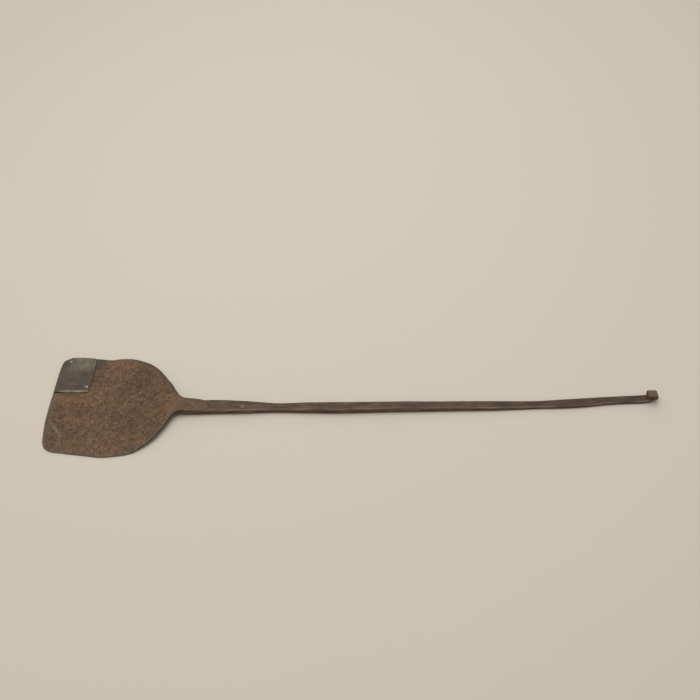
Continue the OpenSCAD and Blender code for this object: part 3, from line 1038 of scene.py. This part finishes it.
def blade_material():
    t = Tree("rusty_blade")
    at = t.where()
    broad = t.noise(at, 0.024, 3, 0.5)
    mottle = t.noise(at, 0.0040, 4, 0.62, 0.4)
    fine = t.noise(at, 0.0019, 4, 0.65)
    grain = t.noise(at, 0.0006, 2, 0.6)
    v = t.maths("MULTIPLY", mottle, 1.0)
    v = t.maths("MULTIPLY_ADD", broad, 0.2, v)
    v = t.maths("MULTIPLY_ADD", fine, 1.05, v)
    v = t.maths("MULTIPLY_ADD", grain, 0.25, v)
    v = t.maths("MULTIPLY_ADD", t.attribute("relief"), 0.35, v)
    v = t.span(v, 1.0, 1.84, soft=False)
    base = t.ramp(v, [
        (0.0, colour(48, 41, 34)), (0.25, colour(74, 60, 47)), (0.45, colour(95, 76, 59)), (0.6, colour(110, 86, 65)),
        (0.74, colour(125, 95, 71)), (0.88, colour(141, 112, 87)), (1.0, colour(166, 138, 110)),
    ])  # fmt: skip
    # patches of redder and of yellower rust
    hue = t.noise(at, 0.0105, 3, 0.5)
    base = t.mix(t.span(hue, 0.5, 0.75, 0, 0.28), base, colour(124, 82, 58), "MIX")
    base = t.mix(t.span(hue, 0.45, 0.25, 0, 0.25), base, colour(96, 80, 60), "MIX")
    greyed = t.mix(t.span(fine, 0.3, 0.7), colour(84, 76, 67), colour(112, 100, 85))
    edge_noise = t.span(mottle, 0.3, 0.7, 0.45, 1.0)
    base = t.mix(t.maths("MULTIPLY", t.maths("MULTIPLY", t.attribute("grey"), edge_noise), 0.75), base, greyed)
    base = t.mix(t.maths("MULTIPLY", t.attribute("tongue"), 0.75), base, t.mix(t.span(t.noise(t.scaled(at, (0.35, 1, 1)), 0.003, 3), 0.3, 0.7), colour(84, 66, 52), colour(108, 84, 64)))
    # the dark mask: painted shade beside the patch's right edge, and darker spots
    base = t.mix(t.maths("MULTIPLY", t.attribute("dark"), 0.8), base, t.mix(t.span(fine, 0.3, 0.7), colour(66, 61, 56), colour(82, 76, 69)))
    base = t.mix(t.maths("MULTIPLY", t.attribute("pale"), 0.6), base, colour(132, 124, 104))
    base = t.mix(t.maths("MULTIPLY", t.attribute("specks"), 0.85), base, colour(170, 150, 128))
    # painted highlight along the seam's step
    base = t.mix(t.maths("MULTIPLY", t.attribute("seam"), 0.45), base, colour(126, 113, 97))
    # painted highlight along the tongue's near edge
    base = t.mix(t.maths("MULTIPLY", t.attribute("tongue_arris_highlight"), 0.55), base, colour(128, 118, 100))
    # painted shade along the heel's far rim
    base = t.mix(t.maths("MULTIPLY", t.attribute("rim"), 0.6), base, colour(72, 59, 48))
    # painted shade: the heel's edge wall is darkened to dark brown
    base = t.mix(t.maths("MULTIPLY", t.attribute("wall"), 0.8), base, colour(62, 45, 33))
    # dark pits
    pit = t.span(t.cell(at, 0.0034), 0.05, 0.25, 1, 0)
    pit = t.maths("MULTIPLY", pit, t.span(t.noise(at, 0.008, 2), 0.48, 0.62))
    base = t.mix(t.maths("MULTIPLY", pit, 0.6), base, colour(58, 49, 42))
    rub = t.maths("MULTIPLY", t.attribute("edge"), t.span(mottle, 0.4, 0.65))
    base = t.mix(t.maths("MULTIPLY", rub, 0.35), base, colour(120, 104, 86))
    dull = t.span(mottle, 0.3, 0.7, 0.62, 0.82)
    t.relief((t.noise(at, 0.0036, 5, 0.62), 0.00035), (t.noise(at, 0.0009, 3, 0.6), 0.00012))
    return t.finish(base, dull, 0.2)


def bar_material():
    t = Tree("forged_bar")
    at = t.where()
    flow = t.scaled(t.attribute("flow", True), (0.001, 0.001, 0.001))
    streak = t.noise(t.scaled(flow, (0.10, 1, 1)), 0.0016, 4, 0.6)
    long = t.noise(t.scaled(flow, (0.35, 1, 1)), 0.006, 3, 0.55)
    broad = t.noise(at, 0.045, 2, 0.5)
    fine = t.noise(at, 0.0013, 3, 0.6)
    v = t.maths("MULTIPLY", streak, 0.9)
    v = t.maths("MULTIPLY_ADD", long, 0.6, v)
    v = t.maths("MULTIPLY_ADD", fine, 0.35, v)
    v = t.span(v, 0.62, 1.25, soft=False)
    base = t.ramp(v, [
        (0.0, colour(48, 41, 36)), (0.35, colour(72, 59, 48)), (0.6, colour(92, 75, 60)), (0.8, colour(108, 88, 69)),
        (1.0, colour(134, 114, 92)),
    ])  # fmt: skip
    # the far half of the bar is darker and greyer
    x = t.nodes.new("ShaderNodeSeparateXYZ")
    t.links.new(at, x.inputs[0])
    far = t.span(x.outputs[0], 0.11, 0.19, 0, 1)
    base = t.mix(t.maths("MULTIPLY", far, 0.45), base, colour(62, 51, 42))
    base = t.mix(t.span(x.outputs[0], 0.296, 0.300, 0, 0.5), base, colour(122, 108, 88))
    # painted reflected light: the near side face is given a warmer, redder colour, as if lit by warm light bounced up
    # from a wooden table
    side = t.mix(t.span(long, 0.3, 0.7), colour(84, 61, 42), colour(126, 90, 61))
    base = t.mix(t.maths("MULTIPLY", t.attribute("side"), t.span(broad, 0.3, 0.6, 0.55, 0.95)), base, side)
    # the near arris: partly rubbed bare iron, partly a painted highlight along its rounded edge
    rubbed_and_highlit = t.mix(t.span(streak, 0.35, 0.65), colour(102, 90, 76), colour(132, 122, 107))
    hold = t.span(t.noise(t.scaled(flow, (0.25, 1, 1)), 0.006, 2), 0.36, 0.6, 0.1, 0.85)
    base = t.mix(t.maths("MULTIPLY", t.attribute("arris"), hold), base, rubbed_and_highlit)
    base = t.mix(t.maths("MULTIPLY", t.attribute("rub"), 0.65), base, colour(128, 118, 103))
    base = t.mix(t.maths("MULTIPLY", t.attribute("spot"), 0.8), base, colour(126, 122, 108))
    rust = t.span(t.noise(at, 0.009, 4, 0.6), 0.56, 0.72)
    base = t.mix(t.maths("MULTIPLY", rust, 0.4), base, colour(116, 80, 56))
    base = t.mix(t.maths("MULTIPLY", t.attribute("bore"), 0.7), base, colour(128, 104, 80))
    dull = t.span(streak, 0.3, 0.7, 0.55, 0.75)
    t.relief((streak, 0.00030), (t.noise(at, 0.0022, 4, 0.6), 0.00022), (fine, 0.00006))
    return t.finish(base, dull, 0.25)


def patch_material():
    t = Tree("patch_iron")
    at = t.where()
    broad = t.noise(at, 0.012, 3, 0.5)
    mottle = t.noise(at, 0.004, 4, 0.6)
    fine = t.noise(at, 0.0011, 3, 0.6)
    v = t.maths("MULTIPLY_ADD", mottle, 0.7, t.maths("MULTIPLY", broad, 0.6))
    v = t.maths("MULTIPLY_ADD", fine, 0.35, v)
    v = t.span(v, 0.55, 1.15, soft=False)
    base = t.ramp(v, [(0.0, colour(56, 49, 42)), (0.4, colour(76, 67, 55)), (0.7, colour(90, 79, 64)), (1.0, colour(108, 92, 72))])
    pale = t.ramp(v, [(0.0, colour(84, 82, 70)), (0.5, colour(103, 98, 83)), (1.0, colour(120, 116, 100))])
    base = t.mix(t.maths("MULTIPLY", t.attribute("pale"), t.span(mottle, 0.3, 0.6, 0.6, 1.0)), base, pale)
    base = t.mix(t.maths("MULTIPLY", t.attribute("brown"), 0.5), base, colour(96, 80, 64))
    base = t.mix(t.maths("MULTIPLY", t.attribute("low"), 0.4), base, colour(76, 69, 61))
    base = t.mix(t.maths("MULTIPLY", t.attribute("crease"), 0.5), base, colour(112, 104, 92))
    base = t.mix(t.attribute("lip"), base, t.mix(t.span(fine, 0.35, 0.65), colour(122, 113, 94), colour(152, 144, 122)))
    rust = t.span(t.noise(at, 0.0075, 4, 0.6), 0.56, 0.7)
    base = t.mix(t.maths("MULTIPLY", rust, 0.4), base, colour(104, 80, 60))
    dull = t.span(mottle, 0.3, 0.7, 0.5, 0.7)
    t.relief((t.noise(at, 0.003, 4, 0.6), 0.00028), (fine, 0.00008))
    return t.finish(base, dull, 0.25)


def rivet_material():
    t = Tree("rivet_iron")
    at = t.where()
    fine = t.noise(at, 0.0009, 3, 0.6)
    dark = t.mix(t.span(fine, 0.35, 0.65), colour(50, 50, 50), colour(62, 60, 58))
    plain = t.mix(t.span(fine, 0.35, 0.65), colour(78, 69, 58), colour(104, 93, 77))
    # bright: a painted glint on a rivet's head
    bright = t.mix(t.span(fine, 0.35, 0.65), colour(170, 160, 140), colour(214, 204, 184))
    base = t.mix(t.span(t.attribute("glint_and_dark"), 0.5, 0.0), plain, dark)
    base = t.mix(t.span(t.attribute("glint_and_dark"), 0.5, 0.95), base, bright)
    t.relief((t.noise(at, 0.0014, 3, 0.6), 0.00012))
    return t.finish(base, t.span(fine, 0.3, 0.7, 0.42, 0.62), 0.5)


# ---------------------------------------------------------------------------
# camera, light, floor
# ---------------------------------------------------------------------------
def build_camera():
    lean, roll, down = -0.010955, 0.0145, math.radians(51)
    right = np.array([math.cos(lean), -math.sin(lean), 0])
    fwd = np.array([math.sin(lean) * math.cos(down), math.cos(lean) * math.cos(down), -math.sin(down)])
    below = np.cross(fwd, right)
    c, s = math.cos(roll), math.sin(roll)
    x, y = c * right + s * below, s * right - c * below
    cam = bpy.data.cameras.new("camera")
    cam.sensor_fit = "HORIZONTAL"
    cam.sensor_width = 36
    cam.lens = 36 * 850 / 700
    cam.clip_start, cam.clip_end = 0.01, 20
    obj = bpy.data.objects.new("camera", cam)
    bpy.context.scene.collection.objects.link(obj)
    m = Matrix.Identity(4)
    for i in range(3):
        m[i][0], m[i][1], m[i][2] = x[i], y[i], -fwd[i]
    m.translation = Vector((0.00407, -0.4992, 0.7047))
    obj.matrix_world = m
    bpy.context.scene.camera = obj


def build_stage():
    mesh = bpy.data.meshes.new("floor")
    r = 4.0
    mesh.from_pydata([(-r, -r, -0.0001), (r, -r, -0.0001), (r, r, -0.0001), (-r, r, -0.0001)], [], [(0, 1, 2, 3)])
    floor = bpy.data.objects.new("floor", mesh)
    bpy.context.scene.collection.objects.link(floor)
    mat = bpy.data.materials.new("floor")
    mat.use_nodes = True
    b = mat.node_tree.nodes["Principled BSDF"]
    b.inputs["Base Color"].default_value = (0.62, 0.575, 0.50, 1)
    b.inputs["Roughness"].default_value = 0.9
    b.inputs["Specular IOR Level"].default_value = 0.15
    mesh.materials.append(mat)
    floor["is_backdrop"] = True


def area(name, at, aim, size, power, tint=(1, 1, 1)):
    light = bpy.data.lights.new(name, "AREA")
    light.shape = "RECTANGLE"
    light.size, light.size_y = size
    light.energy = power
    light.color = tint
    obj = bpy.data.objects.new(name, light)
    bpy.context.scene.collection.objects.link(obj)
    obj.location = at
    obj.rotation_euler = (Vector(aim) - Vector(at)).to_track_quat("-Z", "Y").to_euler()


def build_light():
    world = bpy.data.worlds.new("studio")
    bpy.context.scene.world = world
    world.use_nodes = True
    bg = world.node_tree.nodes["Background"]
    bg.inputs[0].default_value = (1.0, 0.975, 0.93, 1)
    bg.inputs[1].default_value = 0.40
    area("overhead", (-0.15, 0.25, 1.5), (0, 0, 0), (1.5, 1.2), 16.5, (1.0, 0.97, 0.92))
    area("back", (0.0, 1.5, 0.9), (0, 0, 0), (2.0, 0.9), 4, (1.0, 0.98, 0.95))
    view = bpy.context.scene.view_settings
    view.view_transform = "Standard"
    view.look = "None"


blade, bar, patch, rivets = build_blade(), build_bar(), build_patch(), build_rivets()
for piece, material in ((blade, blade_material()), (bar, bar_material()), (patch, patch_material()), (rivets, rivet_material())):
    piece.data.materials.append(material)
build_camera()
build_stage()
build_light()

bpy.context.view_layer.update()
lists = lambda box: [[float(v) for v in corner] for corner in box]
{"cad": lists(CAD_BOX), "visual": lists(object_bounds())}
